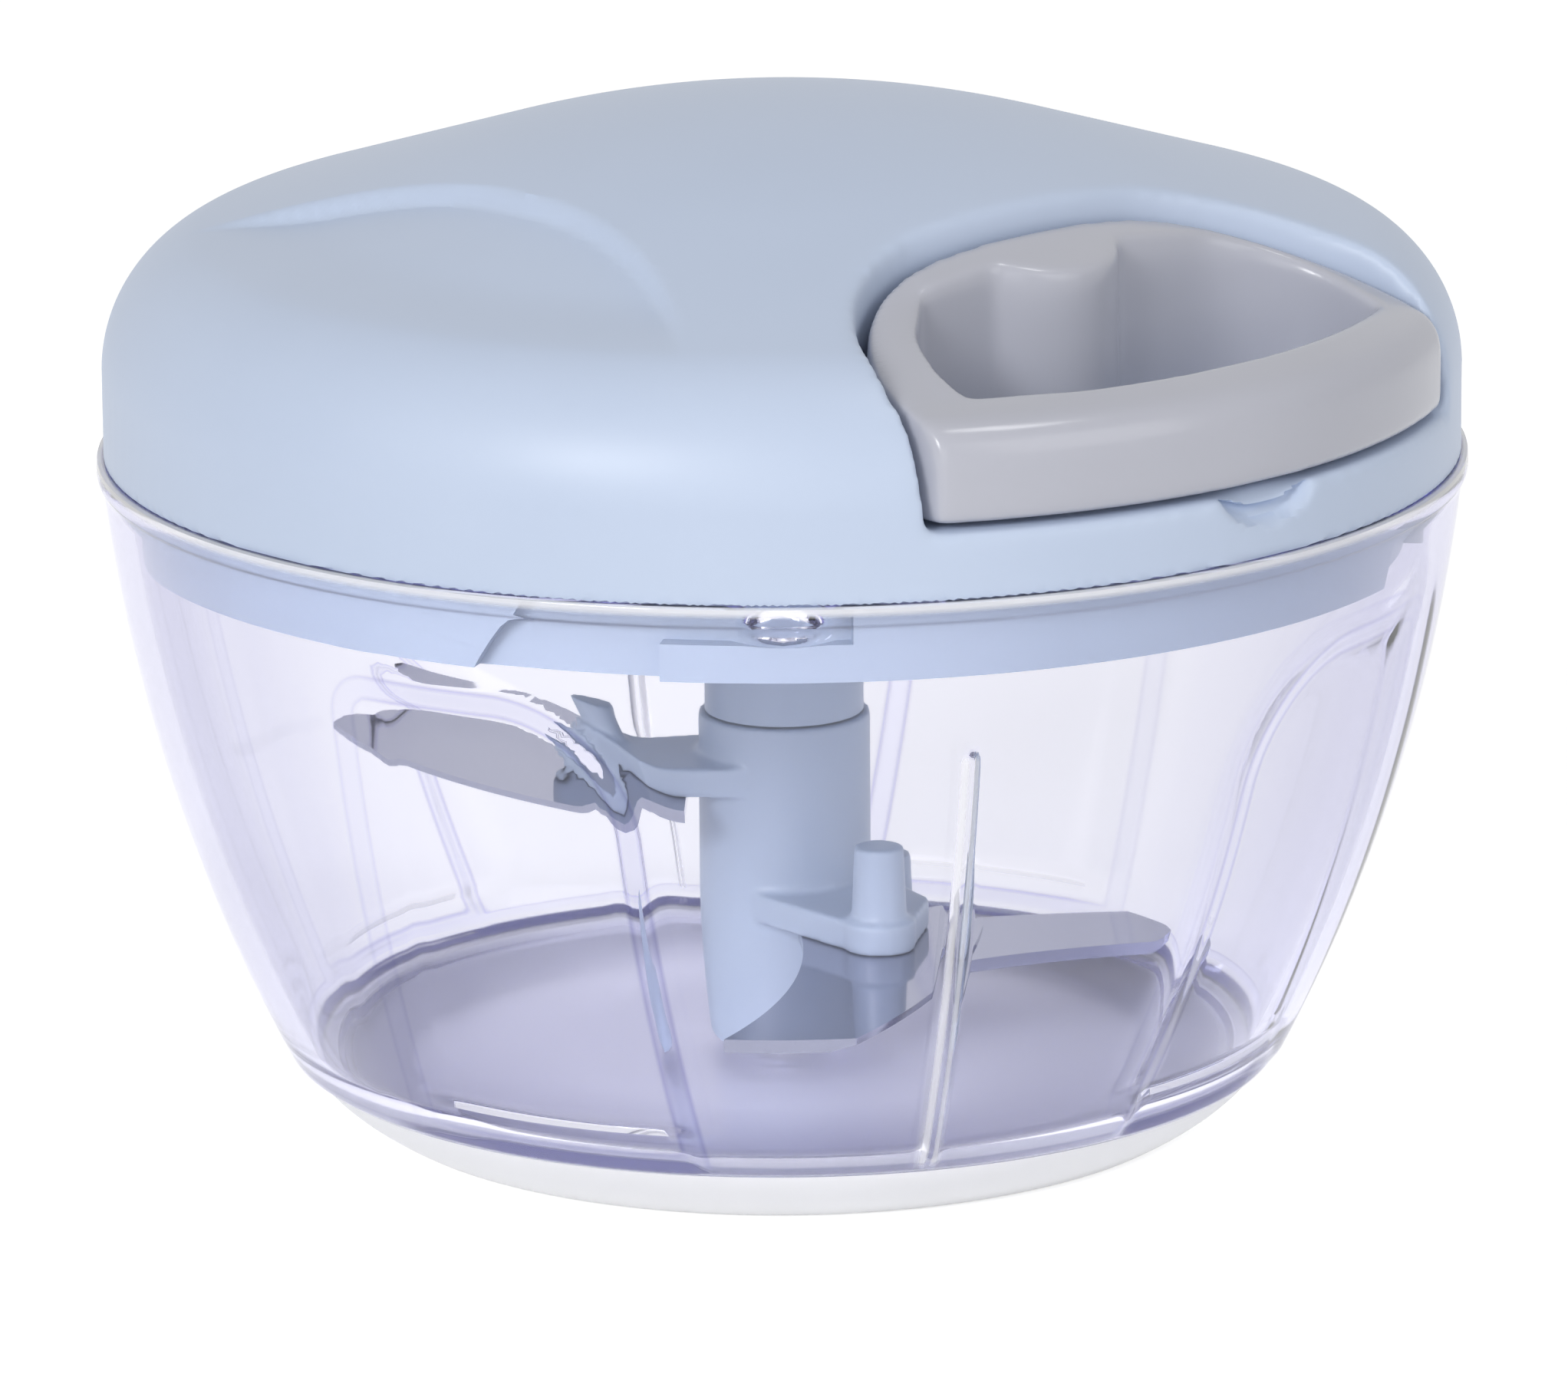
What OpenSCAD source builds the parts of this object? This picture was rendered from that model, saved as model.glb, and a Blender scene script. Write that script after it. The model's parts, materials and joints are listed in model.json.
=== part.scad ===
// Pull-string food chopper: clear bowl, three-blade column, domed lid with a cord reel and a pull handle.
// The object stands on z = 0 with its axis on Z, and its front faces -Y.

/* [Bowl] */
// Height of the bowl from the table to its rim
bowl_h = 63.5; // [58:0.5:72]
// Outer radius of the bowl wall just under the rim lip
bowl_top_r = 63.8; // [62.6:0.1:66]
// Outer radius of the bowl wall at its lower edge
bowl_low_r = 47; // [44:0.5:50]
// How far the wall bulges outside a straight cone
bowl_bulge = 2.8; // [1:0.1:4]
// Thickness of the bowl wall
bowl_wall = 2.2; // [1.8:0.1:2.8]
// Thickness of the bowl floor
bowl_floor = 2; // [1.6:0.1:3]
// Radius of the round between the floor and the wall inside
floor_fillet = 8; // [5:0.5:9]
// How far the rim lip stands out from the wall
lip_out = 0.3; // [0.2:0.1:1]
// Height of the rim lip
lip_h = 1.6; // [1:0.1:3]
// Depth of the four arched grips in the wall
grip_depth = 0.8; // [0.3:0.1:1.1]
// Width of an arched grip
grip_w = 28; // [24:1:34]
// Height of the arched grips' top edge above the table
grip_top = 53; // [48:0.5:55]
// Radius of a grip's top corner beside the plain panel
grip_corner = 12; // [8:0.5:13]
// Radius of a grip's top corner away from the plain panel
grip_far_corner = 3; // [2:0.5:7]
// Direction of the plain front panel, degrees right of the front
panel_az = 15.5; // [0:0.5:30]
// Angle from the plain panel to the grip beside it
grip_az = 42.5; // [40:0.5:48]
// Width of the thin rib on each plain panel
rib_w = 1.2; // [0.8:0.1:2]
// How far the rib stands out
rib_out = 0.5; // [0.3:0.1:1]
// Height of the rib's top above the table
rib_top = 49.5; // [30:0.5:55]

/* [Foot] */
// Height of the soft foot ring
foot_h = 6; // [4.5:0.5:8]
// Outer radius of the ring where it stands on the table
foot_r = 38.9; // [37:0.1:42]
// Inner radius of the ring
foot_inner_r = 35.5; // [30:0.5:36.5]
// Depth of the step in the bowl that the ring grips
foot_step = 2.4; // [1.5:0.1:3]

/* [Pivot pin] */
// Radius of the steel pivot pin in the bowl floor
pivot_r = 2.5; // [2:0.1:3]
// Height of the pin above the bowl floor
pivot_h = 10; // [6:0.5:14]
// Radius of the boss round the pin
pivot_boss_r = 5; // [4:0.5:7]
// Height of the boss above the floor
pivot_boss_h = 0.9; // [0.5:0.1:1.2]

/* [Lid] */
// How far the lid cover stands in from the bowl wall
lid_in = 0.4; // [0:0.1:0.8]
// Height of the top of the dome above the bowl rim
dome_h = 32.8; // [32:0.2:38]
// Radius of the dome's crown
crown_r = 106; // [80:0.5:110]
// Slope of the dome's flank in degrees
flank_angle = 17.2; // [15:0.2:19]
// Radius of the rounded shoulder
shoulder_r = 13.5; // [12:0.1:18]
// Wall thickness of the cover
cover_wall = 2; // [1.6:0.1:2.6]
// Direction of the handle, degrees right of the front
handle_az = 43.5; // [30:0.5:60]
// Depth of the leaf-shaped thumb scoop at its ridge
leaf_depth = 1.5; // [0.5:0.1:1.8]
// Height of the plug ring below the bowl rim
plug_h = 7.3; // [7:0.1:9]
// Clearance between the plug ring and the bowl wall
plug_gap = 0.5; // [0.4:0.1:1]
// Thickness of the plug ring
plug_wall = 4; // [3.4:0.1:5]
// Thickness of the lid plate
plate_t = 2.3; // [1.8:0.1:3]

/* [Bayonet] */
// Number of lock lugs inside the bowl rim
lug_n = 4; // [2:1:4]
// Width of a lock lug
lug_w = 8; // [6:0.5:10]
// Height of a lock lug
lug_h = 2.8; // [2:0.1:3]
// Height of a lug's middle below the rim
lug_drop = 2.1; // [1.9:0.1:2.4]
// How far a lug reaches past the plug's outer face
lug_reach = 1.5; // [1:0.1:2]
// Length of the curved lead-in ramp of a track
ramp_run = 8; // [4:0.5:9]
// Turn of the lid from locked to open, in degrees
unlock_turn = 15; // [14:0.5:18]

/* [Handle] */
// Half width of the handle
handle_half_w = 32.3; // [28:0.1:33.5]
// Distance of the handle's back from the axis
handle_back = 33; // [32.6:0.1:34]
// Radius of the handle's back corners
handle_corner = 20; // [16:0.5:22]
// Thickness of the handle's back wall
handle_wall = 3.4; // [2.8:0.1:4]
// Thickness of the handle's side walls
handle_side = 5; // [4:0.1:7]
// Thickness of the handle's front bar
handle_bar = 5.6; // [4.6:0.1:7.4]
// Radius of the finger hole's back corners
hole_corner = 10; // [7:0.5:14]
// Depth of the handle's top below the dome, at the handle's back
handle_drop = 2; // [1:0.1:4]
// Slope of the handle's top in degrees
handle_slope = 19.2; // [17:0.2:21]
// Rounding between the handle's top and its front face
bar_round = 3.5; // [2:0.1:5]
// Gap between the handle and its pocket
handle_gap = 1; // [0.6:0.1:1.4]
// Height of the handle's underside above the bowl rim
handle_z = 6.8; // [6:0.1:8]
// Width of the round notch in the ledge below the handle
notch_w = 11; // [8:0.5:14]
// Depth of that notch
notch_depth = 1.5; // [0.8:0.1:1.6]
// Radius of the cord boss inside the handle
boss_r = 9.5; // [8:0.1:10.5]
// How far the boss reaches in from the handle's back
boss_reach = 7.4; // [7:0.1:8]

/* [Cord and reel] */
// Diameter of the pull cord
cord_d = 2; // [1.4:0.1:2.2]
// Height of the cord above the bowl rim
cord_z = 14.5; // [13:0.1:15.5]
// Radius of the reel's drum
drum_r = 15; // [14.4:0.1:16]
// Turns of cord side by side on the drum
cord_turns = 3; // [2:1:3]
// Radius of the reel's flanges
flange_r = 22; // [21:0.1:24]
// Thickness of a reel flange
flange_t = 1.5; // [1.2:0.1:2]
// Wall between the drum and the spring housing
drum_wall = 1.6; // [1.2:0.1:2]
// Radius of the reel's lower hub
hub_r = 6; // [5:0.1:6.4]
// Radius of the reel axle
axle_r = 3; // [2:0.1:3.4]
// Thickness of the spring strip
strip_t = 0.5; // [0.3:0.05:0.6]
// Turns of the spring
spring_turns = 5; // [3:1:6]
// Radius of the cord guide's hole
guide_bore_r = 1.35; // [1.3:0.05:1.5]

/* [Blades] */
// Radius of the blade column
column_r = 8.1; // [7.6:0.1:9]
// Height of the column's top above the table
column_top = 38; // [37.4:0.1:42]
// Radius of the drive socket's neck
socket_r = 7.5; // [7.2:0.1:8]
// Corner radius of the six-sided drive bit
bit_r = 5.2; // [4.8:0.1:5.4]
// Length of the drive bit
bit_len = 7; // [5:0.5:8]
// Gap between the lower blade's tip and the bowl wall
lower_gap = 2.1; // [2:0.1:8]
// Gap between the middle blade's tip and the bowl wall
middle_gap = 4.4; // [2:0.1:10]
// Gap between the upper blade's tip and the bowl wall
upper_gap = 5.7; // [2:0.1:12]
// Thickness of a blade
blade_t = 1.2; // [0.8:0.1:1.6]
// Height of the lowest blade above the bowl floor
blade_lift = 3; // [2.4:0.1:4]
// Height step from the lower blade to the middle one
middle_step = 9.6; // [9:0.1:10.4]
// Height step from the middle blade to the upper one
upper_step = 11.9; // [11.3:0.1:12.2]
// Direction of the middle arm, degrees right of the front
arm_az = 28; // [0:1:60]
// Thickness of an arm's plate
arm_t = 2.8; // [2:0.1:3.2]
// Distance of the arm's peg from the axis
peg_dist = 18.5; // [16:0.5:20]
// Radius of a peg
peg_r = 2.6; // [2:0.1:3]
// Height of the pegs on the lower two arms
peg_h = 7; // [5:0.1:7.2]
// Height of the peg on the upper arm
upper_peg_h = 4.3; // [3:0.1:7]

/* [Hidden] */
$fn = 96;

// Small amounts shared by the fits
eps = 0.01;
big = 200;
run_gap = 0.06;
seat_gap = 0.2;
clear_gap = 0.4;
fit_gap = 0.05;
over = 1;
arc_n = 16;
fillet_n = 8;

// Colours
blue = [0.70, 0.76, 0.87];
grey = [0.70, 0.71, 0.76];
clear = [0.86, 0.87, 0.95, 0.35];
white = [0.92, 0.92, 0.93];
steel = [0.75, 0.76, 0.78];
bright = [0.66, 0.67, 0.74];

// Bowl wall: a circle arc from the lower edge to the rim
wall_rise = bowl_h - foot_h;
wall_run = bowl_top_r - bowl_low_r;
wall_chord = sqrt(wall_rise * wall_rise + wall_run * wall_run);
wall_arc_r = wall_chord * wall_chord / (8 * bowl_bulge) + bowl_bulge / 2;
wall_tilt = atan2(wall_rise, wall_run);
wall_cx = (bowl_top_r + bowl_low_r) / 2 - (wall_arc_r - bowl_bulge) * sin(wall_tilt);
wall_cz = (bowl_h + foot_h) / 2 + (wall_arc_r - bowl_bulge) * cos(wall_tilt);
function wall_r(z, out = 0) = wall_cx + sqrt(pow(wall_arc_r + out, 2) - pow(z - wall_cz, 2));
function wall_pts(z0, z1, out) =
    [for (i = [0:arc_n]) let (z = z0 + (z1 - z0) * i / arc_n) [wall_r(z, out), z]];
floor_top = foot_h - foot_step + bowl_floor;
floor_low = foot_h - foot_step;
fillet_z = floor_top + floor_fillet;
fillet_x = wall_r(fillet_z, -bowl_wall - floor_fillet);
fillet_end = atan2(fillet_z - wall_cz, fillet_x - wall_cx);
fillet_top = fillet_z + floor_fillet * sin(fillet_end);
step_in = 4;
step_r = bowl_low_r - step_in;
grip_foot = 1;
grip_low = foot_h + grip_foot;

// Pivot pin
pivot_top = floor_top + pivot_h;
pivot_skin = 0.8;
pivot_foot = floor_low + pivot_skin;

// Dome: crown arc, straight flank, shoulder arc and plain wall
lid_r = bowl_top_r - lid_in;
rim_z = bowl_h + seat_gap;
dome_top = bowl_h + dome_h;
crown_cz = dome_top - crown_r;
flank_r0 = crown_r * sin(flank_angle);
flank_r1 = lid_r - shoulder_r + shoulder_r * sin(flank_angle);
flank_drop = (flank_r1 - flank_r0) * tan(flank_angle);
shoulder_cz = crown_cz + crown_r * cos(flank_angle) - flank_drop - shoulder_r * cos(flank_angle);
function crown_pts(t) =
    [for (i = [0:arc_n]) let (a = flank_angle * i / arc_n) [(crown_r - t) * sin(a), crown_cz + (crown_r - t) * cos(a)]];
function shoulder_pts(t) =
    [for (i = [0:arc_n]) let (a = flank_angle + (90 - flank_angle) * i / arc_n)
        [lid_r - shoulder_r + (shoulder_r - t) * sin(a), shoulder_cz + (shoulder_r - t) * cos(a)]];
function dome_z(r) =
    r < flank_r0 ? crown_cz + sqrt(crown_r * crown_r - r * r)
    : r < flank_r1 ? crown_cz + crown_r * cos(flank_angle) - (r - flank_r0) * tan(flank_angle)
    : shoulder_cz + sqrt(max(0, pow(shoulder_r, 2) - pow(r - lid_r + shoulder_r, 2)));
function dome_pts(t, z0) = concat([[0, z0]], crown_pts(t), shoulder_pts(t), [[lid_r - t, z0]]);

// Lid plug and bayonet
plug_low = bowl_h - plug_h;
plug_r = wall_r(plug_low) - bowl_wall - plug_gap;
plate_z = rim_z;
plate_top = plate_z + plate_t;
plate_r = lid_r - cover_wall - seat_gap;
collar_h = 2;
collar_w = 3;
lug_z = bowl_h - lug_drop;
lug_in_r = plug_r - lug_reach;
lug_half = lug_w / 2 / plug_r * 180 / PI;
track_gap = 0.4;
track_r = lug_in_r - track_gap;
track_z0 = lug_z - lug_h / 2 - track_gap;
track_z1 = lug_z + lug_h / 2 + track_gap;
track_rest = 2;
track_end = lug_half + track_rest;
track_slack = 0.8;
track_start = -unlock_turn - lug_half - track_slack;
track_gate = -unlock_turn + lug_half + track_slack;

// Handle and its pocket, in a frame whose X runs out through the handle
handle_low = bowl_h + handle_z;
handle_inset = 0.4;
handle_front = lid_r - handle_inset;
handle_apex = dome_z(handle_back) - handle_drop + handle_back * tan(handle_slope);
bar_cx = handle_front - bar_round;
bar_cz = handle_apex - (bar_round + bar_cx * sin(handle_slope)) / cos(handle_slope);
pocket_floor = handle_low - handle_gap / 2;
pocket_back = handle_back - handle_gap;
pocket_half = handle_half_w + handle_gap;
pocket_corner = handle_corner + handle_gap;
pocket_wall = 1.8;
notch_r = notch_w * notch_w / (8 * notch_depth) + notch_depth / 2;
leaf_lead = 3;
leaf_spread = 2;
leaf_flat = 4;
leaf_back = pocket_back - leaf_lead;
leaf_half = pocket_half + leaf_spread;
leaf_corner = leaf_half - leaf_flat;
leaf_start = 1;
leaf_ease = 10;
leaf_ease_part = 0.7;
cord_height = bowl_h + cord_z;
cord_r = cord_d / 2;
knot_at = handle_back + handle_wall + clear_gap;
knot_r = 2.2;
chamber_r = 2.6;

// Cord guide
guide_wall = 1.6;
guide_collar = 1.2;
guide_out_r = guide_bore_r + guide_wall;
guide_flange_r = guide_out_r + guide_collar;
guide_flange_t = 0.8;
guide_in = pocket_back - pocket_wall;

// Reel
cord_gap = 0.15;
groove_slack = 0.2;
cord_pitch = cord_d + cord_gap;
groove_h = cord_turns * cord_pitch + 2 * groove_slack;
groove_z0 = cord_height - cord_pitch / 2 - (cord_turns - 1) * cord_pitch - groove_slack;
groove_z1 = groove_z0 + groove_h;
reel_low = groove_z0 - flange_t;
reel_top = groove_z1 + flange_t;
washer_t = 0.8;
washer_z = plate_top;
reel_foot_z = washer_z + washer_t + seat_gap;
reel_foot_w = 5;
reel_foot_r = hub_r + reel_foot_w;
hub_drop = 3;
hub_low = plate_z - hub_drop;
spring_room_r = drum_r - drum_wall;
spring_skin = 1;
spring_floor = groove_z0 + spring_skin;
cap_t = 1;
axle_sink = 3;
axle_low = spring_floor - axle_sink;
strip_gap = 0.5;
strip_r0 = axle_r + strip_gap + fit_gap;
strip_r1 = spring_room_r - strip_gap;
strip_h = reel_top - spring_floor - 2 * strip_gap;
axle_boss_w = 3;
axle_boss_r = axle_r + axle_boss_w;
axle_boss_gap = 1;
axle_boss_z = reel_top + cap_t + axle_boss_gap;
axle_skin = 1;
axle_top = dome_top - cover_wall - axle_skin;

// Inside run of the cord: tangent to the drum's second layer, ends in the guide
run_gap_r = 0.35;
run_gap_end = 0.85;
run_r = drum_r + cord_d * 3 / 2 + run_gap_r;
run_start = guide_in - guide_flange_t - run_gap_end;
run_swing = acos(run_r / run_start);
run_len = sqrt(run_start * run_start - run_r * run_r);

// Drive socket and its screw
socket_low = column_top + seat_gap;
socket_top = plate_z - clear_gap;
screw_bore_r = 3.2;
screw_head_r = 2.9;
screw_head_h = 2;
screw_shank_r = 1.5;
screw_web = 2;
screw_bite = 6;
screw_seat = hub_low - screw_web;
screw_top = hub_low + screw_bite;
bit_gap = 0.3;

// Cover screws
cover_screw_n = 3;
cover_screw_az = 105;
cover_screw_r = 1.5;
cover_boss_r = 4;
boss_skin = 0.5;
cover_screw_len = 9;
cover_head_r = 2.9;
cover_head_h = 1.4;
cover_head_room = 3.7;
cover_screw_dist = plug_r - plug_wall - cover_head_r - cover_head_room;

// Blade column
blade_z = [floor_top + blade_lift, floor_top + blade_lift + middle_step,
    floor_top + blade_lift + middle_step + upper_step];
tip_gap = [lower_gap, middle_gap, upper_gap];
blade_reach = [for (i = [0:2]) wall_r(blade_z[i]) - bowl_wall - tip_gap[i]];
peg_rise = [peg_h, peg_h, upper_peg_h];
column_low = floor_top + pivot_boss_h + clear_gap;
arm_turn = 120;
nose_r = 3.4;
peg_taper = 0.3;
lead_r = 87.8;
lead_at = [-32.2, -60.9];
trail_r = 60.7;
trail_at = [-12.8, -60.1];
root_gap = 0.9;
blade_root = column_r + root_gap;
blade_side = 12;
edge_w = 2;
edge_t = 0.3;

// Turns its children so that X points the given number of degrees right of the front
module facing(az) {
    rotate([0, 0, az - 90]) children();
}

module wall_solid(out, z0, z1) {
    rotate_extrude() polygon(concat([[0, z0]], wall_pts(z0, z1, out), [[0, z1]]));
}

module dome_solid(t, z0) {
    rotate_extrude() polygon(dome_pts(t, z0));
}

// Plan of a shape with two round back corners that is open towards +X
module d_plan(back, half, corner, front) {
    union() {
        translate([back + corner, -half]) square([front - back - corner, 2 * half]);
        translate([back, -half + corner]) square([front - back, 2 * (half - corner)]);
        for (side = [-1, 1]) translate([back + corner, side * (half - corner)]) circle(corner);
    }
}

// Upright arch with a wide round at its panel side and a small one at its far side
module arch_plan(w, top, side) {
    near_x = -side * (w / 2 - grip_corner);
    far_x = side * (w / 2 - grip_far_corner);
    union() {
        translate([-w / 2, 0]) square([w, top - grip_corner]);
        translate([min(near_x, side * w / 2), 0]) square([w - grip_corner, top - grip_far_corner]);
        translate([min(near_x, far_x), 0]) square([w - grip_corner - grip_far_corner, top]);
        translate([near_x, top - grip_corner]) circle(grip_corner);
        translate([far_x, top - grip_far_corner]) circle(grip_far_corner);
    }
}

module ring(r0, r1, z0, z1) {
    translate([0, 0, z0]) difference() {
        cylinder(r = r1, h = z1 - z0);
        translate([0, 0, -eps]) cylinder(r = r0, h = z1 - z0 + 2 * eps);
    }
}

// Wedge of a ring from angle a0 to a1
module ring_part(r0, r1, z0, z1, a0, a1) {
    rotate([0, 0, a0]) translate([0, 0, z0])
        rotate_extrude(angle = a1 - a0) translate([r0, 0]) square([r1 - r0, z1 - z0]);
}

// Arched grip cut: everything outside the sunk wall within the arch
module grip_cut(side) {
    difference() {
        rotate([90, 0, 90]) translate([0, 0, bowl_low_r / 2])
            linear_extrude(bowl_top_r) translate([0, grip_low]) arch_plan(grip_w, grip_top - grip_low, side);
        wall_solid(-grip_depth, foot_h - eps, bowl_h);
    }
}

// Lock lug with round ends, reaching in from the wall
module lug() {
    translate([lug_in_r, 0, lug_z]) rotate([90, 0, 90]) linear_extrude(bowl_top_r - lug_in_r) union() {
        translate([-(lug_w - lug_h) / 2, -lug_h / 2]) square([lug_w - lug_h, lug_h]);
        for (side = [-1, 1]) translate([side * (lug_w - lug_h) / 2, 0]) circle(lug_h / 2);
    }
}

module bowl() {
    color(clear) difference() {
        union() {
            difference() {
                wall_solid(0, foot_h, bowl_h);
                for (half = [0, 180], side = [-1, 1]) facing(panel_az + half + side * grip_az) grip_cut(side);
            }
            translate([0, 0, floor_low]) cylinder(r = step_r, h = foot_step + eps);
            translate([0, 0, bowl_h - lip_h]) cylinder(r = bowl_top_r + lip_out, h = lip_h);
            for (half = [0, 180]) facing(panel_az + half) intersection() {
                wall_solid(rib_out, grip_low, rib_top);
                translate([0, -rib_w / 2, 0]) cube([big, rib_w, rib_top]);
            }
        }
        difference() {
            rotate_extrude() polygon(concat(
                [[0, floor_top]],
                [for (i = [0:fillet_n - 1]) let (a = -90 + (fillet_end + 90) * i / fillet_n)
                    [fillet_x + floor_fillet * cos(a), fillet_z + floor_fillet * sin(a)]],
                wall_pts(fillet_top, bowl_h + eps, -bowl_wall), [[0, bowl_h + eps]]));
            cylinder(r = pivot_boss_r, h = floor_top + pivot_boss_h);
            for (i = [0:lug_n - 1]) facing(i * 360 / lug_n) lug();
        }
        translate([0, 0, pivot_foot]) cylinder(r = pivot_r + fit_gap, h = big);
    }
}

module foot_ring() {
    foot_in = 1.2;
    foot_out = bowl_low_r - foot_in;
    foot_bulge = 0.6;
    color(white) rotate_extrude() polygon(concat(
        [[foot_inner_r, 0]],
        [for (i = [0:fillet_n]) let (t = i / fillet_n)
            [foot_r + (foot_out - foot_r) * (t + foot_bulge * t * (1 - t)), foot_h * t]],
        [[step_r + fit_gap, foot_h], [step_r + fit_gap, floor_low], [foot_inner_r, floor_low]]));
}

module pivot_pin() {
    color(steel) rotate_extrude() polygon(concat(
        [[0, pivot_foot + fit_gap], [pivot_r, pivot_foot + fit_gap]],
        [for (i = [0:arc_n]) let (a = 90 * i / arc_n)
            [pivot_r * cos(a), pivot_top - pivot_r / 2 + pivot_r / 2 * sin(a)]]));
}

// Bayonet track in the plug ring: a curved ramp beside a gate open below, then a level run to the end stop
module track_cut() {
    track_out = plug_r + track_slack;
    ramp_low = plug_low - track_slack;
    ring_part(track_r, track_out, track_z0, track_z1, track_start, track_end);
    ring_part(track_r, track_out, ramp_low, track_z1, track_start, track_gate);
    rotate([0, 0, track_start]) rotate([90, 0, 90]) translate([0, 0, track_r])
        linear_extrude(track_out - track_r) polygon(concat(
            [[track_slack, ramp_low], [track_slack, track_z1]],
            [for (i = [0:fillet_n]) let (t = i / fillet_n) [-ramp_run * t, track_z1 - (track_z1 - ramp_low) * t * t]]));
}

module lid_base() {
    color(blue) difference() {
        union() {
            ring(plug_r - plug_wall, plug_r, plug_low, plate_z + eps);
            translate([0, 0, plate_z]) cylinder(r = plate_r, h = plate_t);
            translate([0, 0, plate_z - collar_h]) cylinder(r = socket_r + collar_w, h = collar_h + eps);
        }
        for (i = [0:lug_n - 1]) facing(i * 360 / lug_n) track_cut();
        translate([0, 0, plug_low]) cylinder(r = hub_r + run_gap, h = big);
        translate([0, 0, plate_z - collar_h - eps]) cylinder(r = socket_r + clear_gap, h = collar_h + eps);
        for (i = [0:cover_screw_n - 1]) facing(cover_screw_az + i * 360 / cover_screw_n)
            translate([cover_screw_dist, 0, plate_z - over]) cylinder(r = cover_screw_r + fit_gap, h = plate_t + 2 * over);
    }
}

// Leaf-shaped scoop, the mirror image of the pocket's outline: sunk most at its ridge, level at the shoulder
module leaf_cut(sink, grow) {
    leaf_r0 = leaf_back - grow - leaf_start;
    leaf_r1 = flank_r1 - leaf_ease;
    leaf_r2 = flank_r1 + leaf_start;
    intersection() {
        translate([0, 0, -sink]) rotate_extrude() polygon([
            [leaf_r0, dome_z(leaf_r0) - leaf_depth], [leaf_r1, dome_z(leaf_r1) - leaf_depth * leaf_ease_part],
            [leaf_r2, dome_z(leaf_r2)], [lid_r + over, dome_z(leaf_r2)], [lid_r + over, big], [leaf_r0, big]]);
        facing(-handle_az) translate([0, 0, bowl_h]) linear_extrude(big)
            d_plan(leaf_back - grow, leaf_half + grow, leaf_corner + grow, big);
    }
}

module top_cover() {
    color(blue) difference() {
        union() {
            difference() {
                dome_solid(0, rim_z);
                difference() {
                    translate([0, 0, -eps]) dome_solid(cover_wall, rim_z);
                    leaf_cut(cover_wall, cover_wall);
                }
            }
            intersection() {
                dome_solid(0, pocket_floor - pocket_wall);
                facing(handle_az) translate([0, 0, bowl_h]) linear_extrude(big)
                    d_plan(pocket_back - pocket_wall, pocket_half + pocket_wall, pocket_corner + pocket_wall, big);
            }
            intersection() {
                dome_solid(boss_skin, plate_top);
                union() {
                    translate([0, 0, axle_boss_z]) cylinder(r = axle_boss_r, h = big);
                    for (i = [0:cover_screw_n - 1]) facing(cover_screw_az + i * 360 / cover_screw_n)
                        translate([cover_screw_dist, 0, plate_top]) cylinder(r = cover_boss_r, h = big);
                }
            }
        }
        leaf_cut(0, 0);
        facing(handle_az) translate([0, 0, pocket_floor]) linear_extrude(big)
            d_plan(pocket_back, pocket_half, pocket_corner, big);
        facing(handle_az) translate([lid_r - pocket_wall, 0, pocket_floor + notch_r - notch_depth]) rotate([0, 90, 0])
            cylinder(r = notch_r, h = pocket_wall + over);
        facing(handle_az) translate([guide_in - over, 0, cord_height]) rotate([0, 90, 0])
            cylinder(r = guide_out_r + fit_gap, h = pocket_wall + 2 * over);
        cylinder(r = axle_r + fit_gap, h = axle_top);
        for (i = [0:cover_screw_n - 1]) facing(cover_screw_az + i * 360 / cover_screw_n)
            translate([cover_screw_dist, 0, plate_top - over]) cylinder(r = cover_screw_r + fit_gap, h = cover_screw_len);
    }
}

module cover_screws() {
    color(steel) for (i = [0:cover_screw_n - 1]) facing(cover_screw_az + i * 360 / cover_screw_n)
        translate([cover_screw_dist, 0, plate_z - cover_head_h]) union() {
            cylinder(r = cover_head_r, h = cover_head_h);
            cylinder(r = cover_screw_r, h = cover_head_h + cover_screw_len);
        }
}

module reel_axle() {
    color(steel) translate([0, 0, axle_low]) cylinder(r = axle_r, h = axle_top - axle_low - seat_gap);
}

module cord_guide() {
    color(white) facing(handle_az) translate([0, 0, cord_height]) rotate([0, 90, 0]) rotate_extrude() polygon([
        [guide_bore_r, guide_in - guide_flange_t], [guide_flange_r, guide_in - guide_flange_t],
        [guide_flange_r, guide_in], [guide_out_r, guide_in], [guide_out_r, pocket_back], [guide_bore_r, pocket_back]]);
}

module cord_run() {
    color(white) facing(handle_az) rotate([0, 0, -run_swing]) translate([run_r, 0, cord_height]) rotate([-90, 0, 0])
        cylinder(r = cord_r, h = run_len);
}

module thrust_washer() {
    color(steel) ring(hub_r + run_gap, reel_foot_r, washer_z, washer_z + washer_t);
}

module reel() {
    color(white) difference() {
        rotate_extrude() polygon([
            [0, hub_low], [hub_r, hub_low], [hub_r, reel_foot_z], [reel_foot_r, reel_foot_z], [reel_foot_r, reel_low],
            [flange_r, reel_low], [flange_r, groove_z0], [drum_r, groove_z0], [drum_r, groove_z1],
            [flange_r, groove_z1], [flange_r, reel_top], [spring_room_r, reel_top], [spring_room_r, spring_floor],
            [0, spring_floor]]);
        translate([0, 0, axle_low - over]) cylinder(r = axle_r + run_gap, h = big);
        translate([0, 0, hub_low - eps]) cylinder(r = screw_shank_r + fit_gap, h = screw_top - hub_low + over);
    }
}

module reel_cap() {
    cap_over = 3;
    color(white) ring(axle_r + strip_gap, drum_r + cap_over, reel_top, reel_top + cap_t);
}

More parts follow.
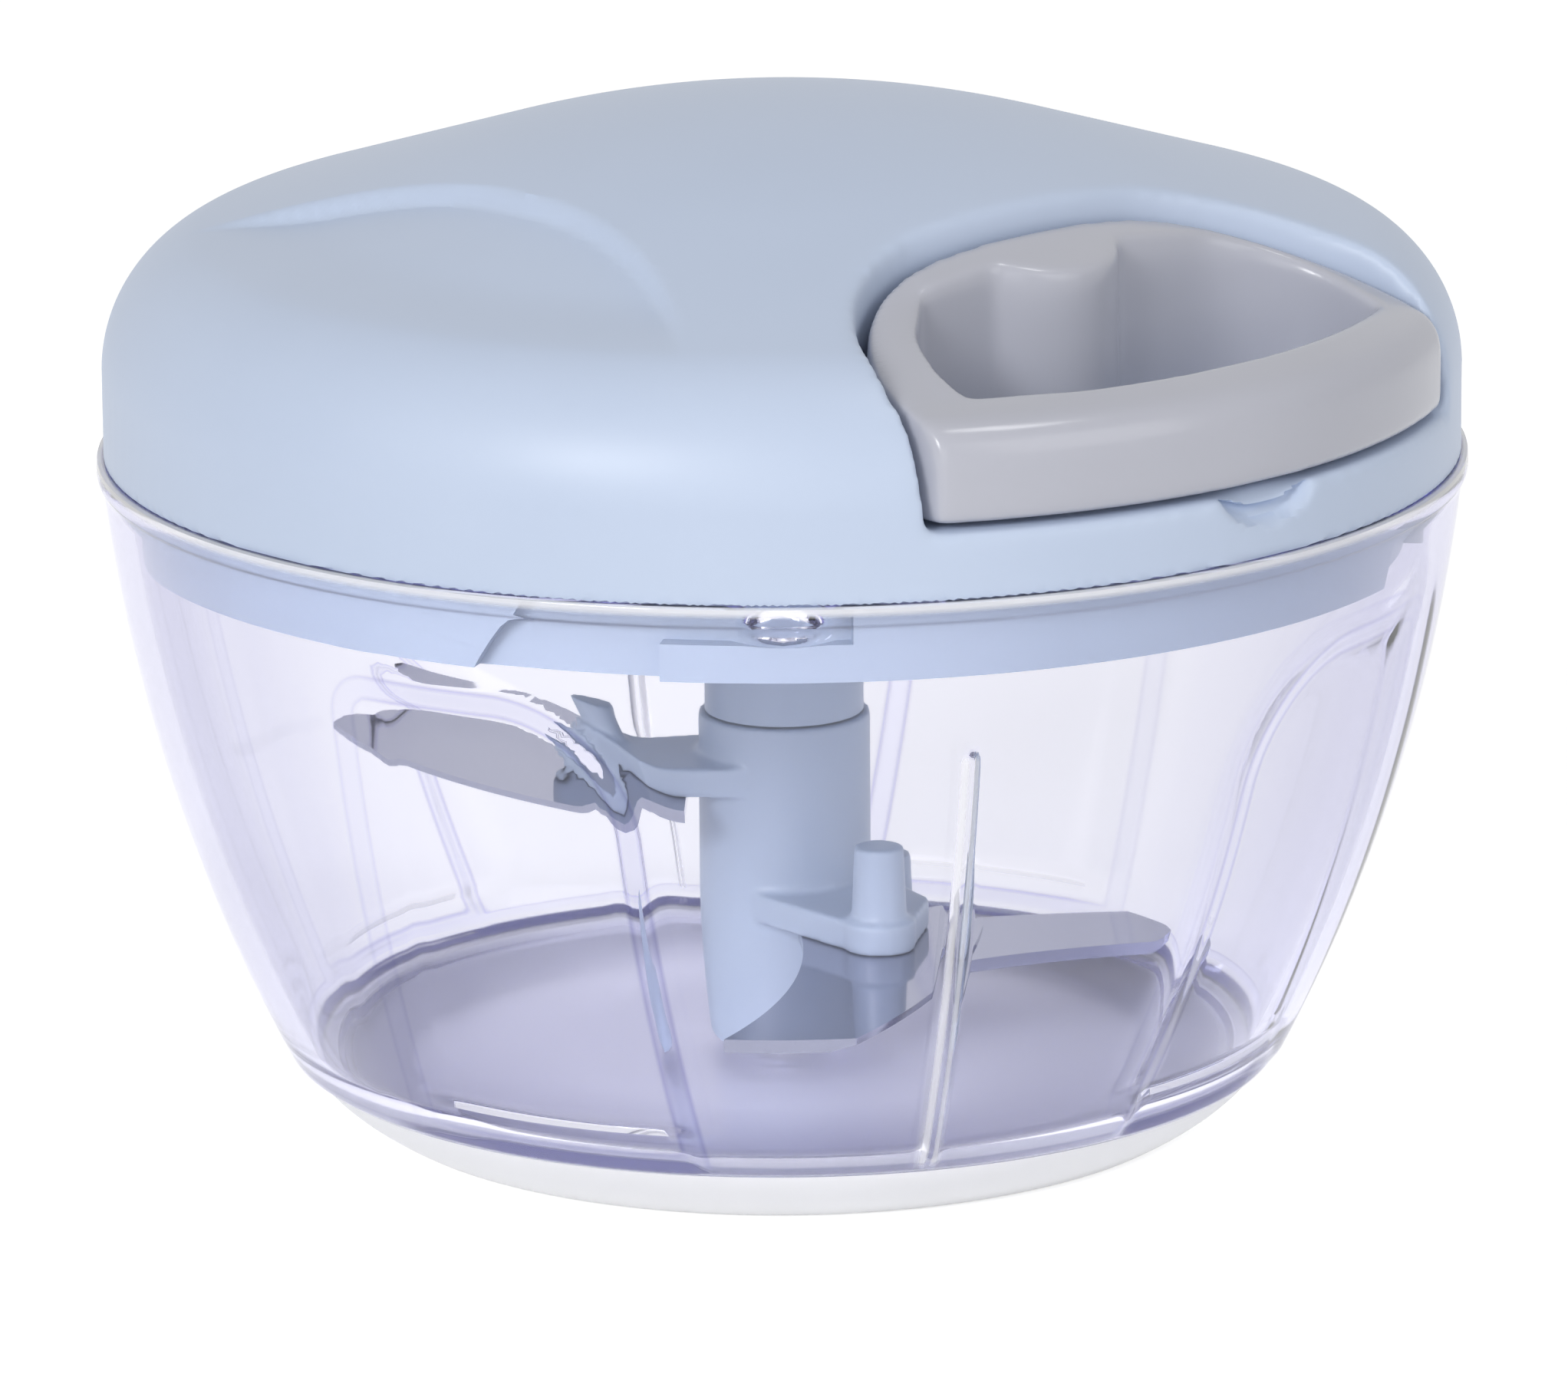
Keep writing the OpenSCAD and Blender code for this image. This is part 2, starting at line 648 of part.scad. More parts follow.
// Flat strip wound in one spiral from the axle to the housing wall
module spiral_spring() {
    per_turn = 20;
    strip_n = spring_turns * per_turn;
    strip_step = (strip_r1 - strip_r0 - strip_t) / strip_n;
    function coil(i, out) = let (a = i * 360 / per_turn, r = strip_r0 + strip_step * i + out) [r * cos(a), r * sin(a)];
    color(steel) translate([0, 0, spring_floor + strip_gap]) linear_extrude(strip_h) polygon(concat(
        [for (i = [0:strip_n]) coil(i, 0)],
        [for (i = [strip_n:-1:0]) coil(i, strip_t)]));
}

// Wound cord: a full inner layer, and an outer layer without the turn that leaves for the guide
module cord_winding() {
    pressed = 0.1;
    layer_in = drum_r + cord_r + fit_gap;
    layer_out = layer_in + cord_d - 2 * pressed;
    first_z = groove_z0 + groove_slack + cord_pitch / 2;
    core_t = 0.6;
    core_gap = 0.3;
    color(white) rotate_extrude() union() {
        translate([drum_r + fit_gap, groove_z0 + core_gap]) square([core_t, groove_h - 2 * core_gap]);
        for (i = [0:cord_turns - 1]) translate([layer_in, first_z + i * cord_pitch]) circle(cord_r);
        for (i = [0:cord_turns - 2]) translate([layer_out, first_z + i * cord_pitch]) circle(cord_r - pressed);
    }
}

module drive_socket() {
    color(blue) difference() {
        union() {
            translate([0, 0, socket_low]) cylinder(r = socket_r, h = socket_top - socket_low);
            translate([0, 0, socket_low - bit_len]) cylinder(r = bit_r, h = bit_len + eps, $fn = 6);
        }
        translate([0, 0, hub_low - seat_gap]) cylinder(r = hub_r + fit_gap, h = big);
        translate([0, 0, socket_low - bit_len - over])
            cylinder(r = screw_bore_r, h = screw_seat - socket_low + bit_len + over);
        translate([0, 0, socket_low]) cylinder(r = screw_shank_r + fit_gap, h = big);
    }
}

module socket_screw() {
    color(steel) union() {
        translate([0, 0, screw_seat - screw_head_h]) cylinder(r = screw_head_r, h = screw_head_h);
        translate([0, 0, screw_seat - eps]) cylinder(r = screw_shank_r, h = screw_top - screw_seat);
    }
}

// Finger hole: the handle's plan drawn in, less the cord boss
module finger_hole() {
    difference() {
        intersection() {
            d_plan(handle_back + handle_wall, handle_half_w - handle_side, hole_corner, big);
            circle(handle_front - handle_bar);
        }
        translate([handle_back + boss_reach - boss_r, 0]) circle(boss_r);
    }
}

// Body the handle is cut from: a sloped top rounded into an upright front face
module handle_form() {
    rotate_extrude() polygon(concat(
        [[0, handle_low], [0, handle_apex]],
        [for (i = [0:fillet_n]) let (a = handle_slope + (90 - handle_slope) * i / fillet_n)
            [bar_cx + bar_round * sin(a), bar_cz + bar_round * cos(a)]],
        [[handle_front, handle_low]]));
}

module handle() {
    color(grey) facing(handle_az) difference() {
        intersection() {
            handle_form();
            translate([0, 0, handle_low - over]) linear_extrude(big) difference() {
                d_plan(handle_back, handle_half_w, handle_corner, big);
                finger_hole();
            }
        }
        translate([knot_at, 0, handle_low - over])
            cylinder(r = chamber_r, h = cord_height - handle_low + chamber_r + over);
        translate([handle_back - over, 0, cord_height]) rotate([0, 90, 0])
            cylinder(r = cord_r + fit_gap, h = knot_at - handle_back + over);
    }
}

module cord_knot() {
    color(white) facing(handle_az) translate([knot_at, 0, cord_height]) difference() {
        sphere(knot_r);
        rotate([0, -90, 0]) cylinder(r = cord_r + fit_gap, h = knot_r + over);
    }
}

module cord_lead() {
    lead_in = run_start + run_gap_end;
    color(white) facing(handle_az) translate([lead_in, 0, cord_height]) rotate([0, 90, 0])
        cylinder(r = cord_r, h = knot_at - lead_in - fit_gap);
}

// Plan of an arm's plate: from the column out to a round nose, wider on the leading side
module arm_plan() {
    root_in = 0.6;
    toe_back = 1;
    heel_back = 3.9;
    union() {
        polygon([[0, -column_r + root_in], [peg_dist - toe_back, -nose_r], [peg_dist + nose_r / 2, nose_r - root_in],
            [peg_dist - heel_back, column_r - root_in], [0, column_r - root_in]]);
        translate([peg_dist, 0]) circle(nose_r);
    }
}

module arm(peg) {
    union() {
        linear_extrude(arm_t) arm_plan();
        translate([peg_dist, 0, arm_t - eps]) cylinder(r1 = peg_r, r2 = peg_r - peg_taper, h = peg);
    }
}

module blade_column() {
    color(blue) difference() {
        union() {
            translate([0, 0, column_low]) cylinder(r = column_r, h = column_top - column_low);
            for (i = [0:2]) facing(arm_az + arm_turn * (1 - i))
                translate([0, 0, blade_z[i] + blade_t]) arm(peg_rise[i]);
        }
        translate([0, 0, column_low - over])
            cylinder(r = pivot_r + run_gap, h = pivot_top + seat_gap - column_low + over);
        translate([0, 0, column_top - bit_len - over])
            cylinder(r = bit_r + bit_gap, h = bit_len + 2 * over, $fn = 6);
    }
}

module blade_plan(reach) {
    intersection() {
        difference() {
            translate(lead_at) circle(lead_r);
            translate(trail_at) circle(trail_r);
        }
        circle(reach);
        translate([blade_root, -big / 2]) square([big, big / 2 + blade_side]);
    }
}

// Sickle blade under its arm, ground along the leading edge
module blade(i) {
    color(bright) facing(arm_az + arm_turn * (1 - i)) translate([0, 0, blade_z[i]]) difference() {
        linear_extrude(blade_t) blade_plan(blade_reach[i]);
        translate([lead_at[0], lead_at[1], 0]) rotate_extrude() polygon([
            [lead_r - edge_w, -eps], [lead_r + over, -eps], [lead_r + over, blade_t - edge_t]]);
    }
}

module blade_lower() {
    blade(0);
}

module blade_middle() {
    blade(1);
}

module blade_upper() {
    blade(2);
}

bowl();
foot_ring();
pivot_pin();
lid_base();
top_cover();
cover_screws();
reel_axle();
cord_guide();
cord_run();
thrust_washer();
reel();
reel_cap();
spiral_spring();
cord_winding();
drive_socket();
socket_screw();
handle();
cord_knot();
cord_lead();
blade_column();
blade_lower();
blade_middle();
blade_upper();
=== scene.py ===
import bpy
import json
from math import radians, sin, cos, tan, pi
from mathutils import Vector, Matrix


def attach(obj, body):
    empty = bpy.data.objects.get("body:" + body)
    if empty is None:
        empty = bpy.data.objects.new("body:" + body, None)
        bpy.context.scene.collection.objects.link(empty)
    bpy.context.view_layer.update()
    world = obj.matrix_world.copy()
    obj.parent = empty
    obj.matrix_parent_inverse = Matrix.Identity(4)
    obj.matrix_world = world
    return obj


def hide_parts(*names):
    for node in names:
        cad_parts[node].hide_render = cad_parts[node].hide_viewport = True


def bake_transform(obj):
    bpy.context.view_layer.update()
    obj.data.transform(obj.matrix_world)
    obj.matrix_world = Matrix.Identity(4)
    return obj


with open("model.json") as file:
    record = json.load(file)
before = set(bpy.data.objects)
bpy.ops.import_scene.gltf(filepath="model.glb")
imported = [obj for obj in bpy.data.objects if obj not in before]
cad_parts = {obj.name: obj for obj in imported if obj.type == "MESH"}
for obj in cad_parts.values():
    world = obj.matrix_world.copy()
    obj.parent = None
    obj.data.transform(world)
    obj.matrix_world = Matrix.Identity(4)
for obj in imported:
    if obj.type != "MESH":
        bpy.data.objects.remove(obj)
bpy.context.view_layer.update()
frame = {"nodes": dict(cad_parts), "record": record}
mm = 0.001                # pieces are written in millimetres and scaled once, the studio is in metres
scene = bpy.context.scene
scene.view_settings.view_transform = "Standard"
scene.cycles.max_bounces = 24            # light runs a long way inside the clear wall
scene.cycles.glossy_bounces = 16
scene.cycles.transmission_bounces = 24

# camera at the photo's view: a long lens from the front, a little above
viewSet = {
    "aimHeight": 39.8,    # point on the axis that sits in the middle of the frame
    "distance": 1000.0,
    "elevation": 14.6,
    "roll": -0.4,
    "lens": 243.9,
    "sensor": 36.0,
    "farClip": 20000.0,
}


def makeCamera():
    elev = radians(viewSet["elevation"])
    aim = Vector((0, 0, viewSet["aimHeight"] * mm))
    back = Vector((0, -cos(elev), sin(elev)))
    bpy.ops.object.camera_add(location=aim + back * viewSet["distance"] * mm)
    cam = bpy.context.object
    look = (-back).to_track_quat("-Z", "Y").to_matrix().to_4x4()
    turn = Matrix.Rotation(radians(viewSet["roll"]), 4, "Z")
    cam.matrix_world = Matrix.Translation(cam.location) @ look @ turn
    cam.data.lens = viewSet["lens"]
    cam.data.sensor_width = viewSet["sensor"]
    cam.data.clip_end = viewSet["farClip"] * mm
    scene.camera = cam
    print("camera placed")


makeCamera()


# short forms for the nodes that the surroundings and the finishes share
def feed(tree, value, socket):
    # a fixed value is set on the socket itself, another node's socket is linked to it
    if isinstance(value, bpy.types.NodeSocket):
        tree.links.new(value, socket)
    else:
        socket.default_value = value


def mathNode(tree, operation, *values):
    node = tree.nodes.new("ShaderNodeMath")
    node.operation = operation
    for spot, value in enumerate(values):
        feed(tree, value, node.inputs[spot])
    return node.outputs[0]


def mapRange(tree, value, fromMin, fromMax, toMin, toMax):
    node = tree.nodes.new("ShaderNodeMapRange")
    feed(tree, value, node.inputs["Value"])
    ends = {"From Min": fromMin, "From Max": fromMax, "To Min": toMin, "To Max": toMax}
    for label, end in ends.items():
        node.inputs[label].default_value = end
    return node.outputs["Result"]


def colourMix(tree, share, first, second):
    # the colour sockets of a mix node come after those for plain numbers and vectors
    node = tree.nodes.new("ShaderNodeMix")
    node.data_type = "RGBA"
    for spot, value in ((0, share), (6, first), (7, second)):
        feed(tree, value, node.inputs[spot])
    return node.outputs[2]


def meshValue(tree, label):
    node = tree.nodes.new("ShaderNodeAttribute")
    node.attribute_name = label
    return node.outputs["Fac"]


def objectPlace(tree):
    return tree.nodes.new("ShaderNodeTexCoord").outputs["Object"]


def splitPlace(tree, place):
    node = tree.nodes.new("ShaderNodeSeparateXYZ")
    tree.links.new(place, node.inputs[0])
    return node.outputs


def seenRays(tree):
    # 1 for camera, mirror and see-through rays, 0 for the rays that only carry light
    path = tree.nodes.new("ShaderNodeLightPath").outputs
    first = mathNode(tree, "MAXIMUM", path["Is Camera Ray"], path["Is Glossy Ray"])
    return mathNode(tree, "MAXIMUM", first, path["Is Transmission Ray"])


# studio: white floor and backdrop, soft lamps round the front and a small one overhead
studioSet = {
    "white": (1, 1, 1, 1),
    "floorSize": 6.0,
    "floorColour": (0.96, 0.96, 0.96, 1),
    "floorLift": 0.60,        # share of white added for rays that see the floor
    "sideLight": 0.51,        # strength of the surroundings at the horizon and overhead
    "topLight": 0.22,
    "flankFrom": 0.4,         # how far sideways a direction points where the surroundings begin to dim
    "flankShare": 0.80,       # share of them that is left at the far left and right
    "keyPower": 10.6,
    "keySize": 0.5,
    "keyAt": (-0.75, -1.25, 0.75),
    "fillPower": 4.0,
    "fillSize": 1.0,
    "fillAt": (1.2, -0.9, 0.6),
    "lowPower": 1.7,
    "lowSize": 0.8,
    "lowAt": (-0.1, -1.3, 0.18),
    "sparkPower": 0.9,        # small lamp overhead for the glints on the handle's edges
    "sparkSize": 0.2,
    "sparkAt": (0.37, -0.12, 0.98),
    "lampAim": (0, 0, 0.05),
}


def makeSurroundings():
    s = studioSet
    world = bpy.data.worlds.new("studioWorld")
    scene.world = world
    world.use_nodes = True
    tree = world.node_tree
    ground = tree.nodes["Background"]
    ground.inputs["Color"].default_value = s["white"]
    aim = splitPlace(tree, tree.nodes.new("ShaderNodeTexCoord").outputs["Generated"])
    fade = mapRange(tree, aim["Z"], 0, 1, s["sideLight"], s["topLight"])
    flank = mathNode(tree, "ABSOLUTE", aim["X"])
    dim = mapRange(tree, flank, s["flankFrom"], 1, 1, s["flankShare"])
    feed(tree, mathNode(tree, "MULTIPLY", fade, dim), ground.inputs["Strength"])
    backdrop = tree.nodes.new("ShaderNodeBackground")
    backdrop.inputs["Color"].default_value = s["white"]
    mix = tree.nodes.new("ShaderNodeMixShader")
    for spot, source in enumerate((seenRays(tree), ground.outputs[0], backdrop.outputs[0])):
        tree.links.new(source, mix.inputs[spot])
    tree.links.new(mix.outputs[0], tree.nodes["World Output"].inputs["Surface"])


def makeFloor():
    s = studioSet
    bpy.ops.mesh.primitive_plane_add(size=s["floorSize"])
    floor = bpy.context.object
    floor.name = "studioFloor"
    paint = bpy.data.materials.new("floorPaint")
    paint.use_nodes = True
    tree = paint.node_tree
    tree.nodes.remove(tree.nodes["Principled BSDF"])
    flat = tree.nodes.new("ShaderNodeBsdfDiffuse")
    flat.inputs["Color"].default_value = s["floorColour"]
    lift = tree.nodes.new("ShaderNodeEmission")
    lift.inputs["Color"].default_value = s["white"]
    feed(tree, mathNode(tree, "MULTIPLY", seenRays(tree), s["floorLift"]), lift.inputs["Strength"])
    both = tree.nodes.new("ShaderNodeAddShader")
    tree.links.new(flat.outputs[0], both.inputs[0])
    tree.links.new(lift.outputs[0], both.inputs[1])
    tree.links.new(both.outputs[0], tree.nodes["Material Output"].inputs["Surface"])
    floor.data.materials.append(paint)


def makeLamps():
    s = studioSet
    for name in ("key", "fill", "low", "spark"):
        spot = Vector(s[name + "At"])
        bpy.ops.object.light_add(type="AREA", location=spot)
        lamp = bpy.context.object
        lamp.name = name + "Lamp"
        lamp.data.energy = s[name + "Power"]
        lamp.data.size = s[name + "Size"]
        lamp.rotation_euler = (Vector(s["lampAim"]) - spot).to_track_quat("-Z", "Y").to_euler()


makeSurroundings()
makeFloor()
makeLamps()
print("studio ready")


# finishes
def newMaterial(name):
    mat = bpy.data.materials.new(name)
    mat.use_nodes = True
    return mat, mat.node_tree, mat.node_tree.nodes["Principled BSDF"]


def objectNoise(tree, scale, detail=2.0, stretch=None):
    place = objectPlace(tree)
    if stretch:
        pull = tree.nodes.new("ShaderNodeMapping")
        pull.inputs["Scale"].default_value = stretch
        tree.links.new(place, pull.inputs["Vector"])
        place = pull.outputs["Vector"]
    noise = tree.nodes.new("ShaderNodeTexNoise")
    noise.inputs["Scale"].default_value = scale
    noise.inputs["Detail"].default_value = detail
    tree.links.new(place, noise.inputs["Vector"])
    return noise.outputs["Fac"]


mottleEnds = (0.3, 0.7)      # where a noise's own darker and lighter colour begin


def mottle(tree, noise, dark, light, bsdf):
    ramp = tree.nodes.new("ShaderNodeValToRGB")
    for stop, spot, colour in zip(ramp.color_ramp.elements, mottleEnds, (dark, light)):
        stop.position = spot
        stop.color = colour
    tree.links.new(noise, ramp.inputs["Fac"])
    tree.links.new(ramp.outputs["Color"], bsdf.inputs["Base Color"])


def unevenGloss(tree, noise, low, high, bsdf):
    tree.links.new(mapRange(tree, noise, 0, 1, low, high), bsdf.inputs["Roughness"])


def shaded(colour, share):
    return tuple(share * c for c in colour[:3]) + (1,)


plasticSet = {"cloudScale": 28.0, "glossSpread": 0.04, "grainDetail": 3.0, "grainDepth": 0.1}


def mouldedPlastic(name, dark, light, rough, grainScale, grainStrength):
    p = plasticSet
    mat, tree, bsdf = newMaterial(name)
    cloud = objectNoise(tree, p["cloudScale"])
    mottle(tree, cloud, dark, light, bsdf)
    unevenGloss(tree, cloud, rough - p["glossSpread"], rough + p["glossSpread"], bsdf)
    bump = tree.nodes.new("ShaderNodeBump")
    bump.inputs["Strength"].default_value = grainStrength
    bump.inputs["Distance"].default_value = p["grainDepth"] * mm
    tree.links.new(objectNoise(tree, grainScale, p["grainDetail"]), bump.inputs["Height"])
    tree.links.new(bump.outputs["Normal"], bsdf.inputs["Normal"])
    return mat


steelSet = {"lineScale": 900.0, "darkShare": 0.985, "glossSpread": 0.08}


def steelSheet(name, colour, rough, stretch):
    s = steelSet
    mat, tree, bsdf = newMaterial(name)
    bsdf.inputs["Metallic"].default_value = 1.0
    lines = objectNoise(tree, s["lineScale"], stretch=stretch)
    mottle(tree, lines, shaded(colour, s["darkShare"]), colour, bsdf)
    unevenGloss(tree, lines, rough * (1 - s["glossSpread"]), rough * (1 + s["glossSpread"]), bsdf)
    return mat


milkySet = {"depthShare": 0.2, "depth": 3.0, "cloudScale": 45.0, "darkShare": 0.96, "glossSpread": 0.05}


def milkyRubber(name, tint, rough):
    k = milkySet
    mat, tree, bsdf = newMaterial(name)
    bsdf.inputs["Subsurface Weight"].default_value = k["depthShare"]
    bsdf.inputs["Subsurface Scale"].default_value = k["depth"] * mm
    bsdf.inputs["Subsurface Radius"].default_value = (1, 1, 1)
    cloud = objectNoise(tree, k["cloudScale"])
    mottle(tree, cloud, shaded(tint, k["darkShare"]), tint, bsdf)
    unevenGloss(tree, cloud, rough - k["glossSpread"], rough + k["glossSpread"], bsdf)
    return mat


clearSet = {
    "clear": (0.942, 0.942, 0.962, 1),
    # the next two colours are painted edge shade: a dark violet line and a pale violet band along each
    # moulded edge
    "edgeShadeLine": (0.46, 0.45, 0.70, 1), "edgeShadeBand": (0.82, 0.82, 0.96, 1),
    "edgeReach": 2.0,                               # millimetres to each side of a moulded edge
    "edgeStart": 0.14, "lineAt": 0.23, "bandAt": 0.34,
    # the floor colour below is a painted shade, slightly darker and more violet than the clear wall
    "floorShade": (0.935, 0.94, 0.985, 1), "floorFrost": 0.35, "floorFull": 5.7, "floorEnd": 6.4,
    # the slant colour below is painted shade for the flanks of the bowl seen at a slant
    "slantShade": (0.40, 0.40, 0.60, 1), "slantFrom": 0.22, "slantTo": 0.95, "slantShare": 0.85,
    "frostedView": 0.3,                             # how clear the frosted lines stay
    "rough": 0.03, "hazeScale": 60.0, "hazeShare": 0.5,
    "bend": 1.40, "soakTint": (0.66, 0.65, 0.93, 1), "soakDensity": 42.0,
}


def clearPlastic(name):
    c = clearSet
    mat, tree, bsdf = newMaterial(name)
    bsdf.inputs["IOR"].default_value = c["bend"]
    # painted edge shade: dark violet lines and a pale violet band along the moulded edges stand in for the
    # light that the edges bend away; the mesh carries the distance to the nearest edge, in millimetres
    ramp = tree.nodes.new("ShaderNodeValToRGB")
    stops = ramp.color_ramp.elements
    stops[0].position, stops[0].color = c["edgeStart"], c["clear"]
    stops[1].position, stops[1].color = 1 - c["edgeStart"], c["clear"]
    for spot, shade in ((c["lineAt"], c["edgeShadeLine"]), (c["bandAt"], c["edgeShadeBand"])):
        for place in (spot, 1 - spot):
            stops.new(place).color = shade
    away = mapRange(tree, meshValue(tree, "edgeAway"), -c["edgeReach"], c["edgeReach"], 0, 1)
    tree.links.new(away, ramp.inputs["Fac"])
    edges = colourMix(tree, meshValue(tree, "edgeShadeShow"), c["clear"], ramp.outputs["Color"])
    # the floor of the bowl is frosted, and its colour is painted a little darker and more violet as shade
    height = splitPlace(tree, objectPlace(tree))["Z"]
    low = mapRange(tree, height, c["floorFull"] * mm, c["floorEnd"] * mm, 1, 0)
    ground = colourMix(tree, low, edges, c["floorShade"])
    # seen at a slant there is more plastic to look through, and the wall's colour is painted darker and more
    # violet there as shade
    slant = tree.nodes.new("ShaderNodeLayerWeight").outputs["Facing"]
    slantShadeShare = mapRange(tree, slant, c["slantFrom"], c["slantTo"], 0, c["slantShare"])
    deep = colourMix(tree, slantShadeShare, ground, c["slantShade"])
    # frosted lines on the rim lip and the ribs
    lip = meshValue(tree, "lipFrost")
    tree.links.new(colourMix(tree, lip, deep, c["clear"]), bsdf.inputs["Base Color"])
    tree.links.new(mapRange(tree, lip, 0, 1, 1, c["frostedView"]), bsdf.inputs["Transmission Weight"])
    haze = mapRange(tree, objectNoise(tree, c["hazeScale"]), 0, 1, c["rough"] * c["hazeShare"], c["rough"])
    frost = mathNode(tree, "MULTIPLY_ADD", low, c["floorFrost"], haze)
    tree.links.new(frost, bsdf.inputs["Roughness"])
    soak = tree.nodes.new("ShaderNodeVolumeAbsorption")
    soak.inputs["Color"].default_value = c["soakTint"]
    soak.inputs["Density"].default_value = c["soakDensity"]
    tree.links.new(soak.outputs[0], tree.nodes["Material Output"].inputs["Volume"])
    return mat


finish = {
    "blue": mouldedPlastic("paleBluePlastic", (0.555, 0.645, 0.815, 1), (0.585, 0.675, 0.845, 1),
                           rough=0.42, grainScale=2600, grainStrength=0.05),
    "grey": mouldedPlastic("warmGreyPlastic", (0.50, 0.51, 0.58, 1), (0.53, 0.54, 0.61, 1),
                           rough=0.20, grainScale=2200, grainStrength=0.03),
    # a darker copy of the pale blue, as painted shade for the blue pieces inside the bowl, which casts no
    # shadow
    "bowlShadeBlue": mouldedPlastic("bowlShadeBluePlastic", (0.38, 0.45, 0.57, 1), (0.41, 0.48, 0.60, 1),
                               rough=0.38, grainScale=2600, grainStrength=0.05),
    "white": mouldedPlastic("whiteNylon", (0.80, 0.80, 0.80, 1), (0.84, 0.84, 0.84, 1),
                            rough=0.45, grainScale=1800, grainStrength=0.04),
    "cord": mouldedPlastic("whiteCord", (0.72, 0.72, 0.72, 1), (0.82, 0.82, 0.82, 1),
                           rough=0.80, grainScale=1200, grainStrength=0.40),
    "foot": milkyRubber("softFootRubber", (0.97, 0.975, 1.0, 1), rough=0.40),
    "steel": steelSheet("plainSteel", (0.62, 0.63, 0.65, 1), rough=0.30, stretch=(1, 1, 0.05)),
    "blade": steelSheet("polishedBlade", (0.37, 0.385, 0.48, 1), rough=0.08, stretch=(0.08, 1, 1)),
    "clear": clearPlastic("clearBowlPlastic"),
}
slotFinish = {
    "clear_plastic": "clear", "soft_foot": "foot", "blue_plastic": "blue", "grey_plastic": "grey",
    "white_plastic": "white", "steel": "steel", "blade_steel": "blade", "cord": "cord",
}
# the blue pieces seen through the bowl get the darker blue copy as painted shade, since the bowl casts no
# shadow
bowlShadedBlues = ("lid_base", "drive_socket")      # blue pieces seen through the bowl, in the deeper blue
for part in frame["record"]["subparts"]:
    cadNode = frame["nodes"][part["node"]]
    look = "bowlShadeBlue" if part["node"] in bowlShadedBlues else slotFinish[part["material_slot"]]
    cadNode.data.materials.clear()
    cadNode.data.materials.append(finish[look])
print("finishes assigned")


# meshes made of rings of points
def onlySelect(piece):
    bpy.ops.object.select_all(action="DESELECT")
    piece.select_set(True)
    bpy.context.view_layer.objects.active = piece


ringSet = {"smoothAngle": 50.0}


def ringMesh(name, rings, weld=0.0):
    # each ring is a list of points of equal count, or one single point where the form closes
    verts, faces, starts = [], [], []
    for ring in rings:
        starts.append(len(verts))
        verts.extend(ring)
    for k in range(len(rings) - 1):
        lower, upper = rings[k], rings[k + 1]
        a, b = starts[k], starts[k + 1]
        count = max(len(lower), len(upper))
        for j in range(count):
            n = (j + 1) % count
            if len(lower) == 1:
                faces.append((a, b + n, b + j))
            elif len(upper) == 1:
                faces.append((a + j, a + n, b))
            else:
                faces.append((a + j, a + n, b + n, b + j))
    mesh = bpy.data.meshes.new(name)
    mesh.from_pydata([tuple(c * mm for c in v) for v in verts], [], faces)
    piece = bpy.data.objects.new(name, mesh)
    scene.collection.objects.link(piece)
    onlySelect(piece)
    bpy.ops.object.mode_set(mode="EDIT")
    bpy.ops.mesh.select_all(action="SELECT")
    if weld:
        bpy.ops.mesh.remove_doubles(threshold=weld * mm)
    bpy.ops.mesh.normals_make_consistent(inside=False)
    bpy.ops.object.mode_set(mode="OBJECT")
    bpy.ops.object.shade_smooth_by_angle(angle=radians(ringSet["smoothAngle"]))
    return piece


def dress(piece, node, body, look):
    piece.data.materials.clear()
    piece.data.materials.append(finish[look])
    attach(piece, body)
    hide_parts(node)


def ease(t):
    t = min(1.0, max(0.0, t))
    return t * t * (3 - 2 * t)


def steps(a, b, count):
    return [a + (b - a) * i / count for i in range(count + 1)]


